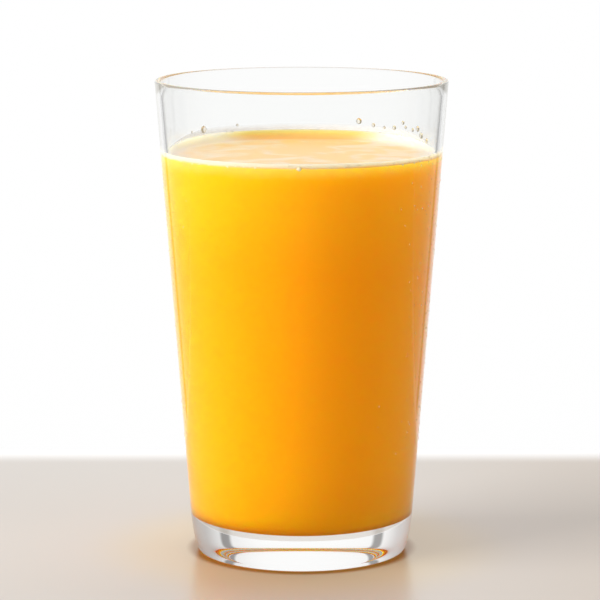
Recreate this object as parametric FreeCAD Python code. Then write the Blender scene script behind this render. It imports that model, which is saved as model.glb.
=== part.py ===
import FreeCAD, Part
import math
import os

# A plain pressed-glass tumbler, wider at the rim than at the foot, with orange juice in it.
# Millimetres, +Z up. The origin is on the glass's axis, at the level that its foot stands on.
# Every piece is a solid of revolution about Z, so each outline below is drawn as (radius, height).

# The outside of the glass.
height = 130.0
rim_diameter = 79.8  # outside, at the very top
foot_diameter = 59.8  # outside, where the straight side would meet the table
heel_rise = 10.5  # the heel, between side and foot, is a quarter of an ellipse this tall
heel_reach = 1.6  # and this wide
rim_rounding = 0.7  # each of the rim's two edges, fire-polished

# The wall and the heavy base.
rim_wall = 1.6
floor_wall = 3.0  # thickness of the side at the level of the inner floor
floor_thickness = 9.5
floor_corner_radius = 6.0  # between the inner floor and the inner side

# The underside: a flat ring carries the glass and the middle is pressed up in a low dome.
ring_width = 2.0
punt_depth = 0.8

# The juice, with the lip that it forms where it climbs the glass.
headspace = 20.3  # from the rim down to the flat part of its surface
lip_rise = 1.5
lip_reach = 2.6  # how far in from the glass the surface starts to rise
juice_level = height - headspace


def outer_radius(z):
    """Outside radius of the straight side at height z."""
    foot = foot_diameter / 2
    return foot + (rim_diameter / 2 - foot) * z / height


def inner_radius(z):
    """Inside radius at height z: a straight side that thins from the floor to the rim."""
    at_floor = outer_radius(floor_thickness) - floor_wall
    at_rim = outer_radius(height) - rim_wall
    return at_floor + (at_rim - at_floor) * (z - floor_thickness) / (height - floor_thickness)


def point(radius, z):
    return FreeCAD.Vector(radius, 0, z)


def rounding(before, corner, after, radius):
    """The arc of the given radius that rounds off a corner between two straight edges."""
    to_before = (before - corner).normalize()
    to_after = (after - corner).normalize()
    half_angle = to_before.getAngle(to_after) / 2
    tangent = radius / math.tan(half_angle)
    bisector = (to_before + to_after).normalize()
    nearest = bisector * (radius / math.sin(half_angle) - radius)
    return Part.Arc(corner + to_before * tangent, corner + nearest, corner + to_after * tangent)


def quarter_ellipse(start, corner, end):
    """A quarter of an ellipse that touches one side of a corner at start and the other at end."""
    curve = Part.BSplineCurve()
    weights = [1, math.sqrt(0.5), 1]
    curve.buildFromPolesMultsKnots([start, corner, end], [3, 3], [0, 1], False, 2, weights)
    return curve


def revolved(curves):
    """The solid that a closed outline sweeps about Z: the curves in order, with straight edges between."""
    edges = []
    last_end = curves[-1].EndPoint
    for curve in curves:
        if last_end.distanceToPoint(curve.StartPoint) > 1e-6:
            edges.append(Part.LineSegment(last_end, curve.StartPoint).toShape())
        edges.append(curve.toShape())
        last_end = curve.EndPoint
    return Part.Face(Part.Wire(edges)).revolve(FreeCAD.Vector(0, 0, 0), FreeCAD.Vector(0, 0, 1), 360)


def rising_arc(start, end):
    """The arc from start to end that sets out level and curves up or down to end."""
    reach = end.x - start.x
    rise = end.z - start.z
    radius = (reach**2 + rise**2) / (2 * abs(rise))
    half = math.asin(reach / radius) / 2
    drop = math.copysign(radius * (1 - math.cos(half)), rise)
    return Part.Arc(start, start + point(radius * math.sin(half), drop), end)


def inner_outline():
    """Three points that the inside follows: the middle of its floor, its corner and its top edge."""
    floor = point(0, floor_thickness)
    corner = point(inner_radius(floor_thickness), floor_thickness)
    return floor, corner, point(inner_radius(height), height)


def make_tumbler():
    """The glass. Its outline runs from the axis under the foot, up the outside and back down inside."""
    foot = point(outer_radius(0), 0)
    ring_outside = point(foot.x - heel_reach, 0)
    heel_top = point(outer_radius(heel_rise), heel_rise)
    outer_top = point(outer_radius(height), height)
    inner_floor, inner_corner, inner_top = inner_outline()
    edge_radius = min(rim_rounding, 0.45 * rim_wall)
    return revolved(
        [
            rising_arc(point(0, punt_depth), point(ring_outside.x - ring_width, 0)),
            quarter_ellipse(ring_outside, foot, heel_top),
            rounding(foot, outer_top, inner_top, edge_radius),
            rounding(outer_top, inner_top, inner_corner, edge_radius),
            rounding(inner_top, inner_corner, inner_floor, floor_corner_radius),
            Part.LineSegment(inner_floor, point(0, punt_depth)),
        ]
    )


def make_juice():
    """The juice fills the glass from its floor, and its surface curls up where it meets the side."""
    inner_floor, inner_corner, inner_top = inner_outline()
    lip_top = point(inner_radius(juice_level + lip_rise), juice_level + lip_rise)
    lip_foot = point(lip_top.x - lip_reach, juice_level)
    lip = rising_arc(lip_foot, lip_top)
    return revolved(
        [
            Part.LineSegment(point(0, juice_level), lip_foot),
            lip,
            rounding(inner_top, inner_corner, inner_floor, floor_corner_radius),
            Part.LineSegment(inner_floor, point(0, juice_level)),
        ]
    )


os.makedirs("parts", exist_ok=True)
make_tumbler().exportStep("parts/tumbler.step")
make_juice().exportStep("parts/orange_juice.step")
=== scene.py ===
import math

import bpy
import numpy as np
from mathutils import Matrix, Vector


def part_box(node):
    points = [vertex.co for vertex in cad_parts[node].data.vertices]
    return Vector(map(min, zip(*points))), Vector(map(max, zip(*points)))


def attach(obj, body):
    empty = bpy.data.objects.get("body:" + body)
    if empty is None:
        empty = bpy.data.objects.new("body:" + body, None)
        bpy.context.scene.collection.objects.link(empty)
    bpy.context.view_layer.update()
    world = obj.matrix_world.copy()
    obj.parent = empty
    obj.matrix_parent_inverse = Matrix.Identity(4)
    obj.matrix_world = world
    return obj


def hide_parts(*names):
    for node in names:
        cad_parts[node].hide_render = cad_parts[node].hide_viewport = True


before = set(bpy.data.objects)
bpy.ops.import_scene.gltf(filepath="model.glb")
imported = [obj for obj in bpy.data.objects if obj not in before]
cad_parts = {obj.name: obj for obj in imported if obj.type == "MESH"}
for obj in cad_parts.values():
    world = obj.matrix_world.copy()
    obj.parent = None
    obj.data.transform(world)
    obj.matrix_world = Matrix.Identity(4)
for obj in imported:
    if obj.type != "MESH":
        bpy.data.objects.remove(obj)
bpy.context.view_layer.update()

# Colours are shown as they are, with no film curve. Light crosses the heavy base many times before it
# comes out, so it may bounce more often than usual.
bpy.context.scene.view_settings.view_transform = "Standard"
bpy.context.scene.cycles.max_bounces = 24
bpy.context.scene.cycles.glossy_bounces = 16
bpy.context.scene.cycles.transmission_bounces = 16


# The tumbler
# One piece of clear soda-lime glass, pressed in a plain tapered mould and fire-polished at its rim.
# The base is heavy, and it stands on a flat ring around a middle that is pressed up in a low dome.

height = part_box("tumbler")[1].z
rim_radius = 0.0399
foot_radius = 0.0299
heel_rise = 0.0105
heel_reach = 0.0016
rim_rounding = 0.0007
rim_wall = 0.0016
floor_wall = 0.0030
floor_height = 0.0095
floor_corner = 0.0060
ring_width = 0.0020
punt_depth = 0.0008


def outer_radius(z):
    """Outside of the straight side: a line from the foot's radius to the rim's."""
    return foot_radius + (rim_radius - foot_radius) * z / height


def inner_radius(z):
    """Inside of the straight side: a line from its radius at the floor to its radius at the rim."""
    at_floor = outer_radius(floor_height) - floor_wall
    at_rim = rim_radius - rim_wall
    return at_floor + (at_rim - at_floor) * (z - floor_height) / (height - floor_height)


def line(start, end, steps):
    """Points from start up to, but not including, end, evenly spaced along a straight line."""
    share = np.arange(steps)[:, None] / steps
    return np.array(start) * (1 - share) + np.array(end) * share


def rounded(before, corner, after, radius, steps):
    """The arc that rounds a corner. Its centre lies on the corner's bisector, radius / sin(half angle)
    out, and its ends lie radius / tan(half angle) along the two sides."""
    before, corner, after = (np.array(p, float) for p in (before, corner, after))
    to_before = (before - corner) / np.linalg.norm(before - corner)
    to_after = (after - corner) / np.linalg.norm(after - corner)
    half = math.acos(np.clip(to_before @ to_after, -1, 1)) / 2
    bisector = (to_before + to_after) / np.linalg.norm(to_before + to_after)
    centre = corner + bisector * radius / math.sin(half)
    first = corner + to_before * radius / math.tan(half) - centre
    last = corner + to_after * radius / math.tan(half) - centre
    turn = math.acos(np.clip(first @ last / radius**2, -1, 1))
    share = np.linspace(0, 1, steps)[:, None]
    return centre + (np.sin((1 - share) * turn) * first + np.sin(share * turn) * last) / math.sin(turn)


def quarter_ellipse(start, corner, end, steps):
    """A quarter of an ellipse that touches the sides of a corner at start and at end:
    corner + (start - corner)(1 - sin t) + (end - corner)(1 - cos t), for t from 0 to 90 degrees."""
    start, corner, end = (np.array(p, float) for p in (start, corner, end))
    t = np.linspace(0, math.pi / 2, steps)[:, None]
    return corner + (start - corner) * (1 - np.sin(t)) + (end - corner) * (1 - np.cos(t))


def level_arc(start, end, steps):
    """An arc from start to end that is level at start: height changes by R - sqrt(R^2 - x^2)."""
    reach, rise = end[0] - start[0], end[1] - start[1]
    radius = (reach**2 + rise**2) / (2 * abs(rise))
    angle = np.linspace(0, math.asin(abs(reach) / radius), steps)
    across = math.copysign(radius, reach) * np.sin(angle)
    up = math.copysign(radius, rise) * (1 - np.cos(angle))
    return np.stack([start[0] + across, start[1] + up], axis=1)


def new_piece(name, points, faces):
    """A smooth piece at the origin, with the given points and faces as its mesh."""
    mesh = bpy.data.meshes.new(name)
    mesh.from_pydata(points, [], faces)
    mesh.shade_smooth()
    piece = bpy.data.objects.new(name, mesh)
    bpy.context.scene.collection.objects.link(piece)
    return piece


def lathe(name, outline, around):
    """A solid of revolution. The outline's point (r, z) becomes the ring (r cos a, r sin a, z), and its
    first and last points, on the axis, close it with a fan of triangles."""
    rings = outline[1:-1]
    angle = np.arange(around) * 2 * math.pi / around
    ring_points = np.stack(
        [
            rings[:, :1] * np.cos(angle),
            rings[:, :1] * np.sin(angle),
            np.repeat(rings[:, 1:], around, axis=1),
        ],
        axis=2,
    ).reshape(-1, 3)
    poles = [(0, 0, outline[0, 1]), (0, 0, outline[-1, 1])]
    points = np.concatenate([ring_points, poles])
    here = np.arange(around)
    beside = (here + 1) % around
    row = np.arange(len(rings) - 1)[:, None] * around
    quads = np.stack([row + here, row + beside, row + around + beside, row + around + here], axis=2)
    last = (len(rings) - 1) * around
    bottom = np.stack([np.full(around, len(points) - 2), beside, here], axis=1)
    top = np.stack([last + here, last + beside, np.full(around, len(points) - 1)], axis=1)
    faces = quads.reshape(-1, 4).tolist() + bottom.tolist() + top.tolist()
    return new_piece(name, points.tolist(), faces)


around = 256
side_foot = (foot_radius, 0)
outer_top = (rim_radius, height)
inner_top = (rim_radius - rim_wall, height)
inner_corner = (inner_radius(floor_height), floor_height)
ring_outside = (foot_radius - heel_reach, 0)
ring_inside = (ring_outside[0] - ring_width, 0)
heel = quarter_ellipse(ring_outside, side_foot, (outer_radius(heel_rise), heel_rise), steps=40)
rim_outer = rounded(side_foot, outer_top, inner_top, rim_rounding, steps=8)
rim_inner = rounded(outer_top, inner_top, inner_corner, rim_rounding, steps=8)
corner = rounded(inner_top, inner_corner, (0, floor_height), floor_corner, steps=20)
tumbler_outline = np.concatenate(
    [
        level_arc((0, punt_depth), ring_inside, steps=30),
        line(ring_inside, heel[0], steps=4)[1:],
        heel,
        line(heel[-1], rim_outer[0], steps=40)[1:],
        rim_outer,
        rim_inner,
        line(rim_inner[-1], corner[0], steps=40)[1:],
        corner,
        line(corner[-1], (0, floor_height), steps=10)[1:],
        [(0, floor_height)],
    ]
)
glass_piece = lathe("clear_tumbler", tumbler_outline, around)


def face_values(mesh, name):
    """The centre or the normal of every face, as rows of x, y and z."""
    values = np.empty(len(mesh.polygons) * 3)
    mesh.polygons.foreach_get(name, values)
    return values.reshape(-1, 3)


def new_finish(name):
    """A new material, with its nodes and their shader."""
    material = bpy.data.materials.new(name)
    material.use_nodes = True
    return material, material.node_tree, material.node_tree.nodes["Principled BSDF"]


def feed(tree, value, socket):
    """Gives a node's socket its value: another node's output, a plain number, or red, green and blue."""
    if isinstance(value, bpy.types.NodeSocket):
        tree.links.new(value, socket)
    else:
        socket.default_value = (*value, 1) if isinstance(value, tuple) else value


def maths(tree, operation, *values):
    """The result of one step of arithmetic on outputs or plain numbers."""
    node = tree.nodes.new("ShaderNodeMath")
    node.operation = operation
    for value, socket in zip(values, node.inputs):
        feed(tree, value, socket)
    return node.outputs[0]


def mixed(tree, share, first, second, blend_type="MIX"):
    """The first colour where share is 0. Where it is 1, the second, or the product of both."""
    node = tree.nodes.new("ShaderNodeMix")
    node.data_type = "RGBA"
    node.blend_type = blend_type
    feed(tree, share, node.inputs["Factor"])
    feed(tree, first, node.inputs[6])
    feed(tree, second, node.inputs[7])
    return node.outputs[2]


bent_depth = 5.5  # light that has bounced more often than this goes on unbent
worn_light = (0.80, 0.77, 0.69)  # the share of it that each surface then lets through


def clear(name, tint, ior, glare, roughness=0.0):
    """A clear material. Lamps shine through it unbent to what it holds, as through a thin wall. Light
    that has bounced inside it many times also leaves unbent, a little browner. Glare is the strength of
    its plain mirror reflection, which a coat of cold mist dulls."""
    material, tree, surface = new_finish(name)
    surface.inputs["Base Color"].default_value = (*tint, 1)
    surface.inputs["Roughness"].default_value = roughness
    surface.inputs["IOR"].default_value = ior
    surface.inputs["Transmission Weight"].default_value = 1.0
    surface.inputs["Specular Tint"].default_value = (glare, glare, glare, 1)
    path = tree.nodes.new("ShaderNodeLightPath").outputs
    from_lamp = maths(tree, "MAXIMUM", path["Is Shadow Ray"], path["Is Diffuse Ray"])
    trapped = maths(tree, "GREATER_THAN", path["Ray Depth"], bent_depth)
    unbent = tree.nodes.new("ShaderNodeBsdfTransparent")
    feed(tree, mixed(tree, trapped, tint, worn_light), unbent.inputs["Color"])
    either = tree.nodes.new("ShaderNodeMixShader")
    feed(tree, maths(tree, "MAXIMUM", from_lamp, trapped), either.inputs[0])
    feed(tree, surface.outputs[0], either.inputs[1])
    feed(tree, unbent.outputs[0], either.inputs[2])
    feed(tree, either.outputs[0], tree.nodes["Material Output"].inputs["Surface"])
    return material


glass_tint = (0.985, 0.99, 0.985)
glass_ior = 1.51
misted_glare = 0.2
scuffed_roughness = 0.35
table_contact = 1e-6  # faces no higher than this stand on the table
for glass_finish in (
    clear("clear_glass", glass_tint, glass_ior, misted_glare),
    clear("scuffed_ring", glass_tint, glass_ior, misted_glare, scuffed_roughness),
):
    glass_piece.data.materials.append(glass_finish)
is_ring = face_values(glass_piece.data, "center")[:, 2] < table_contact
glass_piece.data.polygons.foreach_set("material_index", is_ring.astype(np.int32))
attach(glass_piece, "root")
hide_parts("tumbler")


# The juice
# Cloudy orange juice, poured to about 20 mm below the rim. Its surface is flat, and curls up in a lip
# where it wets the glass, under a pale ring of froth. It reaches a little into the wall, so that no air
# shows between the two.

into_wall = 0.0002
lip_rise = 0.0015
lip_reach = 0.0026
froth_depth = 0.0014
back_rise = 0.0009  # how much higher the juice wets the back of the glass
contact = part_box("orange_juice")[1].z
juice_level = contact - lip_rise
froth_foot = contact - froth_depth

wet_floor = (inner_radius(floor_height) + into_wall, floor_height - into_wall)
wet_edge = (inner_radius(contact) + into_wall, contact)
froth_edge = (inner_radius(froth_foot) + into_wall, froth_foot)
lip_foot = (inner_radius(contact) - lip_reach, juice_level)
lip = level_arc(lip_foot, (inner_radius(contact), contact), steps=16)[::-1]
wet_corner = rounded((0, wet_floor[1]), wet_floor, wet_edge, floor_corner, steps=20)
juice_outline = np.concatenate(
    [
        line((0, wet_floor[1]), wet_corner[0], steps=10),
        wet_corner,
        line(wet_corner[-1], froth_edge, steps=60)[1:],
        line(froth_edge, wet_edge, steps=6),
        [wet_edge],
        lip,
        line(lip_foot, (0, juice_level), steps=40)[1:],
        [(0, juice_level)],
    ]
)
juice_piece = lathe("orange_juice_drink", juice_outline, around)


def smooth_step(low, high, value):
    """0 below low, 1 above high, and 3 t^2 - 2 t^3 between, where t is the share of the way."""
    t = np.clip((value - low) / (high - low), 0, 1)
    return t * t * (3 - 2 * t)


def towards_back(angle):
    """How far the juice has washed up the glass: a smooth step of sin(angle) from 0.1 to 0.8, which is
    0 over the front half of the ring and 1 over the back fifth."""
    return smooth_step(0.1, 0.8, np.sin(angle))


upward = 0.1  # a normal on the open surface points up by more than this
just_below = juice_level - 1e-5
faces_up = face_values(juice_piece.data, "normal")[:, 2] > upward
face_height = face_values(juice_piece.data, "center")[:, 2]
is_top = faces_up & (face_height > just_below)
is_froth = ~faces_up & (face_height > froth_foot)
juice_piece.data.polygons.foreach_set("material_index", (is_top + 2 * is_froth).astype(np.int32))

juice_points = np.empty(len(juice_piece.data.vertices) * 3)
juice_piece.data.vertices.foreach_get("co", juice_points)
juice_points = juice_points.reshape(-1, 3)
climbed = np.clip((juice_points[:, 2] - juice_level) / lip_rise, 0, 1)
wash = towards_back(np.arctan2(juice_points[:, 1], juice_points[:, 0]))
juice_points[:, 2] += back_rise * wash * climbed
juice_piece.data.vertices.foreach_set("co", juice_points.ravel())
juice_piece.data.update()


def eased(tree, value, low, high, at_low=0.0, at_high=1.0):
    """Goes smoothly from at_low, where the given value is low, to at_high, where it is high."""
    node = tree.nodes.new("ShaderNodeMapRange")
    node.interpolation_type = "SMOOTHSTEP"
    feed(tree, value, node.inputs["Value"])
    feed(tree, low, node.inputs["From Min"])
    feed(tree, high, node.inputs["From Max"])
    feed(tree, at_low, node.inputs["To Min"])
    feed(tree, at_high, node.inputs["To Max"])
    return node.outputs["Result"]


def place_on(tree):
    """Each point's place in the piece's own coordinates."""
    return tree.nodes.new("ShaderNodeTexCoord").outputs["Object"]


def parts_of(tree, vector):
    """The X, Y and Z of a vector."""
    node = tree.nodes.new("ShaderNodeSeparateXYZ")
    feed(tree, vector, node.inputs[0])
    return node.outputs


def mottle(tree, scale, detail=2.0, distortion=0.0):
    """Soft patches, between 0 and 1, that are fixed to the piece."""
    node = tree.nodes.new("ShaderNodeTexNoise")
    feed(tree, place_on(tree), node.inputs["Vector"])
    feed(tree, scale, node.inputs["Scale"])
    feed(tree, detail, node.inputs["Detail"])
    feed(tree, distortion, node.inputs["Distortion"])
    return node.outputs["Fac"]


def from_axis(tree):
    """Each point's distance from the glass's axis: the length of its place with its height left out."""
    flat = tree.nodes.new("ShaderNodeVectorMath")
    flat.operation = "MULTIPLY"
    flat.inputs[1].default_value = (1, 1, 0)
    feed(tree, place_on(tree), flat.inputs[0])
    length = tree.nodes.new("ShaderNodeVectorMath")
    length.operation = "LENGTH"
    feed(tree, flat.outputs[0], length.inputs[0])
    return length.outputs["Value"]


def build_height_mask():
    """A mask that goes smoothly from 0 at height Low to 1 at height High. Noise moves the two heights up
    and down by up to half of Ragged."""
    group = bpy.data.node_groups.new("height_mask", "ShaderNodeTree")
    for name in ("Low", "High", "Ragged", "Noise Scale"):
        group.interface.new_socket(name, in_out="INPUT", socket_type="NodeSocketFloat")
    group.interface.new_socket("Mask", in_out="OUTPUT", socket_type="NodeSocketFloat")
    given = group.nodes.new("NodeGroupInput").outputs
    result = group.nodes.new("NodeGroupOutput").inputs
    z = parts_of(group, place_on(group))["Z"]
    centred = maths(group, "SUBTRACT", mottle(group, given["Noise Scale"]), 0.5)
    moved = maths(group, "MULTIPLY_ADD", centred, given["Ragged"], z)
    feed(group, eased(group, moved, given["Low"], given["High"]), result["Mask"])
    return group


height_mask = build_height_mask()


def by_height(tree, low, high, ragged, scale):
    """The height mask, placed in a material with its own values."""
    mask = tree.nodes.new("ShaderNodeGroup")
    mask.node_tree = height_mask
    for name, value in (("Low", low), ("High", high), ("Ragged", ragged), ("Noise Scale", scale)):
        mask.inputs[name].default_value = value
    return mask.outputs["Mask"]


def cloudy(name, radius, depth):
    """Light enters the juice, scatters on its pulp and comes out nearby, red light the farthest away."""
    material, tree, surface = new_finish(name)
    surface.subsurface_method = "RANDOM_WALK"
    surface.inputs["Subsurface Weight"].default_value = 1.0
    surface.inputs["Subsurface Radius"].default_value = radius
    surface.inputs["Subsurface Scale"].default_value = depth
    return material, tree, surface


def juice_body():
    """The juice against the glass: deeper at the bottom edge, a painted shade where little light gets in, and
    yellower towards the top.
    """
    material, tree, surface = cloudy("juice_body", radius=(1.0, 0.28, 0.02), depth=0.045)
    colour = (0.72, 0.26, 0.01)  # painted shade where little light gets in, at the floor's corner
    for above, low, high, ragged, scale in (
        ((0.98, 0.355, 0.002), 0.0098, 0.0118, 0.0006, 90),  # just above the corner, where the painted shade fades out
        ((0.98, 0.40, 0.002), 0.0118, 0.030, 0.004, 60),  # the main depth
        ((0.99, 0.47, 0.004), contact - 0.032, contact - 0.006, 0.008, 45),  # yellower towards the top
        ((0.96, 0.51, 0.09), contact - 0.0050, contact - 0.0008, 0.002, 120),  # close under the froth
    ):
        colour = mixed(tree, by_height(tree, low, high, ragged, scale), colour, above)
    feed(tree, colour, surface.inputs["Base Color"])
    surface.inputs["Roughness"].default_value = 0.5
    surface.inputs["Specular IOR Level"].default_value = 0.0
    return material


def juice_surface():
    """The open surface: orange with islands of fine froth, paler close to the glass, partly cream froth and
    partly painted light over the lip's shadow, golden at the back, with the slight unevenness that pulp gives
    it."""
    material, tree, surface = cloudy("juice_surface", radius=(1.0, 0.8, 0.45), depth=0.004)
    open_juice, fine_froth = (0.82, 0.51, 0.15), (0.82, 0.62, 0.40)
    # The pale edge is partly cream froth and partly painted light, lifting the shade that the lip casts.
    pale_edge, golden_back = (0.86, 0.76, 0.62), (0.82, 0.48, 0.15)
    islands = mottle(tree, scale=95, detail=6, distortion=0.8)
    on_island = eased(tree, islands, low=0.42, high=0.66)
    near_glass = eased(tree, from_axis(tree), low=0.029, high=0.036)
    at_back = eased(tree, parts_of(tree, place_on(tree))["Y"], low=0.026, high=0.034)
    colour = mixed(tree, on_island, open_juice, fine_froth)
    colour = mixed(tree, near_glass, colour, pale_edge)
    colour = mixed(tree, at_back, colour, golden_back)
    feed(tree, colour, surface.inputs["Base Color"])
    bump = tree.nodes.new("ShaderNodeBump")
    bump.inputs["Strength"].default_value = 0.12
    bump.inputs["Distance"].default_value = 0.0002
    feed(tree, islands, bump.inputs["Height"])
    feed(tree, bump.outputs["Normal"], surface.inputs["Normal"])
    surface.inputs["Roughness"].default_value = 0.3
    surface.inputs["IOR"].default_value = 1.35
    return material


def juice_froth():
    """The ring of froth along the glass: orange at its ragged foot, cream above, darker at its thin top."""
    material, tree, surface = cloudy("juice_froth", radius=(1.0, 0.85, 0.6), depth=0.003)
    foot_colour, cream, top_colour = (0.90, 0.52, 0.20), (0.80, 0.66, 0.50), (0.70, 0.61, 0.44)
    above_foot = by_height(tree, low=froth_foot, high=froth_foot + 0.0007, ragged=0.0006, scale=260)
    at_top = by_height(tree, low=contact - 0.0003, high=contact, ragged=0.0002, scale=400)
    colour = mixed(tree, at_top, mixed(tree, above_foot, foot_colour, cream), top_colour)
    feed(tree, colour, surface.inputs["Base Color"])
    surface.inputs["Roughness"].default_value = 0.5
    surface.inputs["Specular IOR Level"].default_value = 0.0
    return material


for make_finish in (juice_body, juice_surface, juice_froth):
    juice_piece.data.materials.append(make_finish())
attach(juice_piece, "root")
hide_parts("orange_juice")


# The film
# A thin wash of juice and froth, left on the wall above the surface when the glass was filled. It is
# highest at the back, where the juice swung up, and it thins out upwards to nothing.

film_least = 0.0002  # its height in front
film_rise = 0.0017  # how much higher it is at the back
film_overlap = 0.0002  # how far it starts below the top of the lip
film_thickness = 0.00015
film_into_wall = 0.00003


def film_grid(around, rows):
    """The film's closed cross-section at every angle. Its foot and its top climb towards the back, and
    ripples of 5, 11 and 23 waves move the top. Its inside stands thickness x sqrt(1 - share) off the
    wall, where share goes from 0 at its foot to 1 at its top, and its outside is just within the wall."""
    angle = np.arange(around) * 2 * math.pi / around
    wash = towards_back(angle)
    foot = contact - film_overlap + back_rise * wash
    ripple = np.sin(5 * angle) + np.sin(11 * angle + 1) + np.sin(23 * angle + 2)
    top = foot + film_least + film_rise * wash * (1 + 0.02 * ripple)
    share = np.linspace(0, 1, rows)[:, None]
    z = foot + (top - foot) * share
    wall = inner_radius(z)
    inside = wall - film_thickness * np.sqrt(1 - share)
    radius = np.concatenate([inside, (wall + film_into_wall)[::-1]])
    z = np.concatenate([z, z[::-1]])
    return np.stack([radius * np.cos(angle), radius * np.sin(angle), z], axis=2)


def closed_tube(name, grid):
    """A surface that closes on itself along both directions of its grid of points."""
    rows, columns = grid.shape[:2]
    row = np.arange(rows)[:, None]
    here = np.arange(columns)
    beside = (here + 1) % columns
    below, above = row * columns, (row + 1) % rows * columns
    quads = np.stack([below + beside, below + here, above + here, above + beside], axis=2)
    return new_piece(name, grid.reshape(-1, 3).tolist(), quads.reshape(-1, 4).tolist())


def thin_film():
    """More than half see-through, mottled, and fading out above the lip: its cover goes from none at the
    upper of the two heights to all of it at the lower."""
    material, tree, surface = new_finish("thin_film")
    cover = tree.nodes.new("ShaderNodeMapRange")
    cover.inputs["To Min"].default_value = 0.18
    cover.inputs["To Max"].default_value = 0.40
    feed(tree, mottle(tree, scale=300), cover.inputs["Value"])
    fade = by_height(tree, low=contact + 0.0030, high=contact + 0.0008, ragged=0.001, scale=90)
    feed(tree, maths(tree, "MULTIPLY", cover.outputs["Result"], fade), surface.inputs["Alpha"])
    surface.inputs["Base Color"].default_value = (0.80, 0.75, 0.67, 1)
    surface.inputs["Roughness"].default_value = 0.35
    surface.inputs["IOR"].default_value = 1.35
    return material


film_piece = closed_tube("juice_film", film_grid(around, rows=6))
film_piece.data.materials.append(thin_film())
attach(film_piece, "root")


# Drops, bubbles and condensation
# Beads of liquid that cling to the glass: juice splashed on the inside of the wall, air bubbles caught
# between froth and glass, and the mist of fine water drops that a cold glass gathers outside.


def beads(name, angle, height_up, wall_radius, outward, size, flat, material):
    """Domes on a round wall, joined in one mesh. A bead is half of an ellipsoid: its foot is a circle of
    radius size in the wall's plane, and it stands up by flat times size along the wall's normal."""
    rings, spokes = 3, 8
    polar = (np.arange(rings) / rings * math.pi / 2)[:, None]
    spoke = np.arange(spokes) * 2 * math.pi / spokes
    side = np.stack(
        [
            np.cos(polar) * np.cos(spoke),
            np.cos(polar) * np.sin(spoke),
            np.sin(polar) * np.ones(spokes),
        ],
        axis=2,
    )
    dome = np.concatenate([side.reshape(-1, 3), [(0, 0, 0), (0, 0, 1)]])
    sign = 1 if outward else -1
    away = sign * np.stack([np.cos(angle), np.sin(angle), np.zeros_like(angle)], axis=1)
    along = sign * np.stack([-np.sin(angle), np.cos(angle), np.zeros_like(angle)], axis=1)
    foot = np.stack([wall_radius * np.cos(angle), wall_radius * np.sin(angle), height_up], axis=1)
    points = (
        foot[:, None]
        + size[:, None, None]
        * (
            dome[None, :, :1] * along[:, None]
            + dome[None, :, 1:2] * np.array((0, 0, 1.0))
            + flat * dome[None, :, 2:] * away[:, None]
        )
    )
    here = np.arange(spokes)
    beside = (here + 1) % spokes
    row = np.arange(rings - 1)[:, None] * spokes
    quads = np.stack([row + here, row + beside, row + spokes + beside, row + spokes + here], axis=2)
    last, base, tip = (rings - 1) * spokes, rings * spokes, rings * spokes + 1
    bottom = np.stack([np.full(spokes, base), beside, here], axis=1)
    top = np.stack([last + here, last + beside, np.full(spokes, tip)], axis=1)
    start = (np.arange(len(angle)) * len(dome))[:, None, None]
    faces = (start + quads.reshape(1, -1, 4)).reshape(-1, 4).tolist()
    faces += (start + np.concatenate([bottom, top])[None]).reshape(-1, 3).tolist()
    piece = new_piece(name, points.reshape(-1, 3).tolist(), faces)
    piece.data.materials.append(material)
    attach(piece, "root")


bead_sink = 0.00002  # how far a drop's foot lies within the wall
splashes = np.array(
    [  # degrees round the glass, mm above the lip, radius in mm
        (139.5, 2.2, 1.1),
        (63.5, 3.6, 0.9),
        (56, 2.7, 0.6),
        (50, 2.3, 0.5),
        (44, 2.5, 0.7),
        (38.5, 4.2, 0.6),
        (36.5, 3.0, 0.5),
        (26.5, 3.2, 0.9),
        (22.5, 1.6, 1.0),
        (15.5, 0.5, 0.9),
        (31, 2.6, 0.6),
        (148, 1.9, 0.4),
        (120, 2.6, 0.4),
    ]
)
splash_height = contact + splashes[:, 1] / 1000
beads(
    "splashed_drops",
    np.radians(splashes[:, 0]),
    splash_height,
    inner_radius(splash_height) + bead_sink,
    outward=False,
    size=splashes[:, 2] / 1000,
    flat=0.7,
    material=clear("splashed_juice", (1.0, 0.95, 0.84), ior=1.34, glare=1.0),
)

random = np.random.default_rng(11)
froth_count = 260
froth_angle = random.uniform(0, 2 * math.pi, froth_count)
froth_height = contact - froth_depth * random.uniform(0.25, 1.05, froth_count)
froth_height += back_rise * towards_back(froth_angle) * (froth_height - juice_level) / lip_rise
froth_size = random.uniform(0.00010, 0.00028, froth_count)
# One of them is larger, and sits in the middle of the front.
froth_angle[0], froth_height[0], froth_size[0] = math.radians(-91), contact - 0.0013, 0.00060
froth_material, _, froth_surface = new_finish("froth_bubble")
froth_surface.inputs["Base Color"].default_value = (0.86, 0.74, 0.50, 1)
froth_surface.inputs["Roughness"].default_value = 0.15
beads(
    "froth_bubbles",
    froth_angle,
    froth_height,
    inner_radius(froth_height) + into_wall,
    outward=True,
    size=froth_size,
    flat=0.4,
    material=froth_material,
)

# Three quarters of the mist is on the right and the rest on the left, both turned a little to the front.
mist_count = 900
mist_side = random.choice([0.0, math.pi], mist_count, p=[0.75, 0.25])
mist_angle = mist_side + np.radians(random.normal(-12, 14, mist_count)) * np.where(mist_side > 0, -1, 1)
mist_height = random.uniform(0.030, 0.112, mist_count)
mist_size = 0.00008 + 0.00020 * random.random(mist_count) ** 3
beads(
    "condensation",
    mist_angle,
    mist_height,
    outer_radius(mist_height) - bead_sink,
    outward=True,
    size=mist_size,
    flat=0.5,
    material=clear("water_drop", (1.0, 1.0, 1.0), ior=1.33, glare=1.0),
)


# The table
# A plain pale slab, slightly polished. Its colour holds painted light and shade: a painted brown shadow
# round the foot, a painted amber cast under it and a painted warm glow outside that. It is painted dimmer
# on the right, its shadow side, and paler at its far edge, a painted reflection of the white backdrop.

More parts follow.
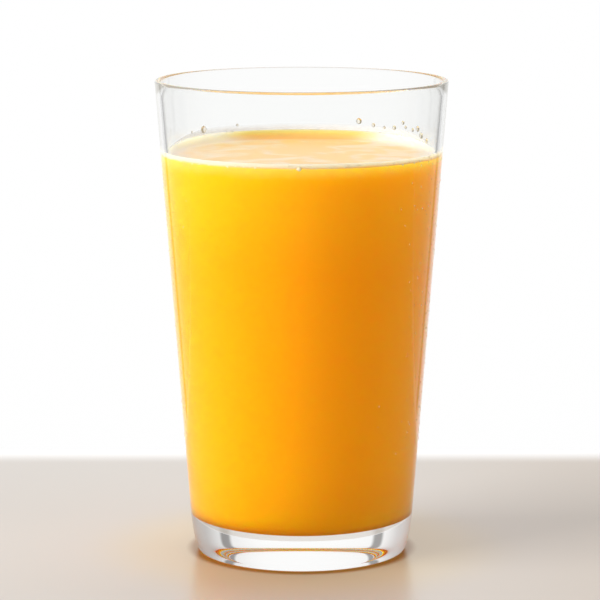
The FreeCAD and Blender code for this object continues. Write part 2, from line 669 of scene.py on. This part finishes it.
table_back = 0.126
table_half = 1.2
table_front = 1.6
table_thickness = 0.03
table_top = -0.0001  # a hair under the foot, so that the two faces never coincide
table_points = [
    (x, y, z)
    for z in (-table_thickness, table_top)
    for x, y in (
        (-table_half, -table_front),
        (table_half, -table_front),
        (table_half, table_back),
        (-table_half, table_back),
    )
]
table_faces = [(3, 2, 1, 0), (4, 5, 6, 7), (0, 1, 5, 4), (1, 2, 6, 5), (2, 3, 7, 6), (3, 0, 4, 7)]
table = new_piece("table", table_points, table_faces)
table.data.shade_flat()


def pale_table():
    """The slab's colour, multiplied by each tint in turn where that tint's measure is at its first value,
    and left alone where it is at its second. The tints are painted shade and painted light."""
    material, tree, surface = new_finish("pale_table")
    distance = from_axis(tree)
    place = parts_of(tree, place_on(tree))
    colour = (0.50, 0.465, 0.425)
    for tint, measure, full, none in (
        ((0.90, 0.83, 0.76), place["X"], 0.11, 0.0),  # painted shade: dimmer on the right, the shadow side
        ((1.08, 1.0, 0.76), distance, 0.034, 0.064),  # a painted warm glow of light
        ((0.50, 0.30, 0.07), distance, 0.0295, 0.0325),  # a painted brown shadow round the foot
        ((2.4, 3.6, 10.0), distance, 0.0275, 0.0285),  # which is undone under the foot, but for a painted amber cast of light
    ):
        colour = mixed(tree, eased(tree, measure, none, full), colour, tint, "MULTIPLY")
    # Paler towards the far edge: a painted reflection of the white backdrop, as a rounded edge would show.
    painted_far_sheen = eased(tree, place["Y"], low=0.106, high=0.125)
    feed(tree, mixed(tree, painted_far_sheen, colour, (0.85, 0.85, 0.85)), surface.inputs["Base Color"])
    surface.inputs["Roughness"].default_value = 0.28
    surface.inputs["IOR"].default_value = 1.7
    return material


table.data.materials.append(pale_table())


# The light and the camera
# A large soft lamp on the left lights the glass, with weak ones on the right and above the back, in
# plain pale surroundings. The camera stands in front and looks down a little.


def soft_light(name, place, width, watts):
    """A square lamp, turned to the middle of the glass. Neither mirror reflections nor light that comes
    through glass show it, so it makes no bright square in the tumbler."""
    data = bpy.data.lights.new(name, "AREA")
    data.shape = "SQUARE"
    data.size = width
    data.energy = watts
    lamp = bpy.data.objects.new(name, data)
    lamp.location = place
    towards = Vector((0, 0, height / 2)) - Vector(place)
    lamp.rotation_euler = towards.to_track_quat("-Z", "Y").to_euler()
    lamp.visible_glossy = False
    lamp.visible_transmission = False
    bpy.context.scene.collection.objects.link(lamp)


soft_light("key", (-1.9, -0.75, 0.85), 1.4, 69)
soft_light("fill", (1.9, -1.0, 0.75), 1.2, 10)
soft_light("top", (0.6, 0.8, 1.5), 1.2, 10)

strip_azimuth = 1.0  # radians from the sideways axis towards the back, on both sides
strip_core = 0.03  # a strip is at its dimmest this far to either side of its middle
strip_edge = 0.08  # and it ends this far to either side
strip_strength = 0.38
right_strength = 0.76


def pale_surroundings():
    """White behind the glass, greyer in front and dimmer on the right, with two narrow dim strips. Seen
    through the glass, they make the dark line down each side of the juice and the glints in the base."""
    world = bpy.data.worlds.new("studio")
    world.use_nodes = True
    tree = world.node_tree
    background = tree.nodes["Background"]
    towards = parts_of(tree, tree.nodes.new("ShaderNodeTexCoord").outputs["Generated"])
    share = tree.nodes.new("ShaderNodeMapRange")
    share.inputs["From Min"].default_value = -1
    feed(tree, towards["Y"], share.inputs["Value"])
    ramp = tree.nodes.new("ShaderNodeValToRGB")
    stops = ramp.color_ramp.elements
    ramp.color_ramp.interpolation = "EASE"
    for at, white in ((0.0, 0.45), (0.5, 0.55), (0.8, 0.70), (0.93, 0.97), (1.0, 0.99)):
        stops.new(at).color = (white, white, white, 1)
    stops.remove(stops[0])
    stops.remove(stops[-1])
    feed(tree, share.outputs["Result"], ramp.inputs["Fac"])
    feed(tree, ramp.outputs["Color"], background.inputs["Color"])
    azimuth = maths(tree, "ARCTAN2", towards["Y"], maths(tree, "ABSOLUTE", towards["X"]))
    from_strip = maths(tree, "ABSOLUTE", maths(tree, "SUBTRACT", azimuth, strip_azimuth))
    strips = eased(tree, from_strip, strip_core, strip_edge, at_low=strip_strength)
    right_side = eased(tree, towards["X"], low=0.2, high=0.8, at_low=1.0, at_high=right_strength)
    feed(tree, maths(tree, "MULTIPLY", strips, right_side), background.inputs["Strength"])
    return world


bpy.context.scene.world = pale_surroundings()

camera_distance = 0.800
camera_height = 0.2008
camera_aside = -0.00045
camera_pitch = math.radians(9.334)
camera_data = bpy.data.cameras.new("camera")
camera_data.sensor_width = 36
camera_data.lens = 177.3
camera = bpy.data.objects.new("camera", camera_data)
camera.location = (camera_aside, -camera_distance, camera_height)
camera.rotation_euler = (math.pi / 2 - camera_pitch, 0, 0)
bpy.context.scene.collection.objects.link(camera)
bpy.context.scene.camera = camera
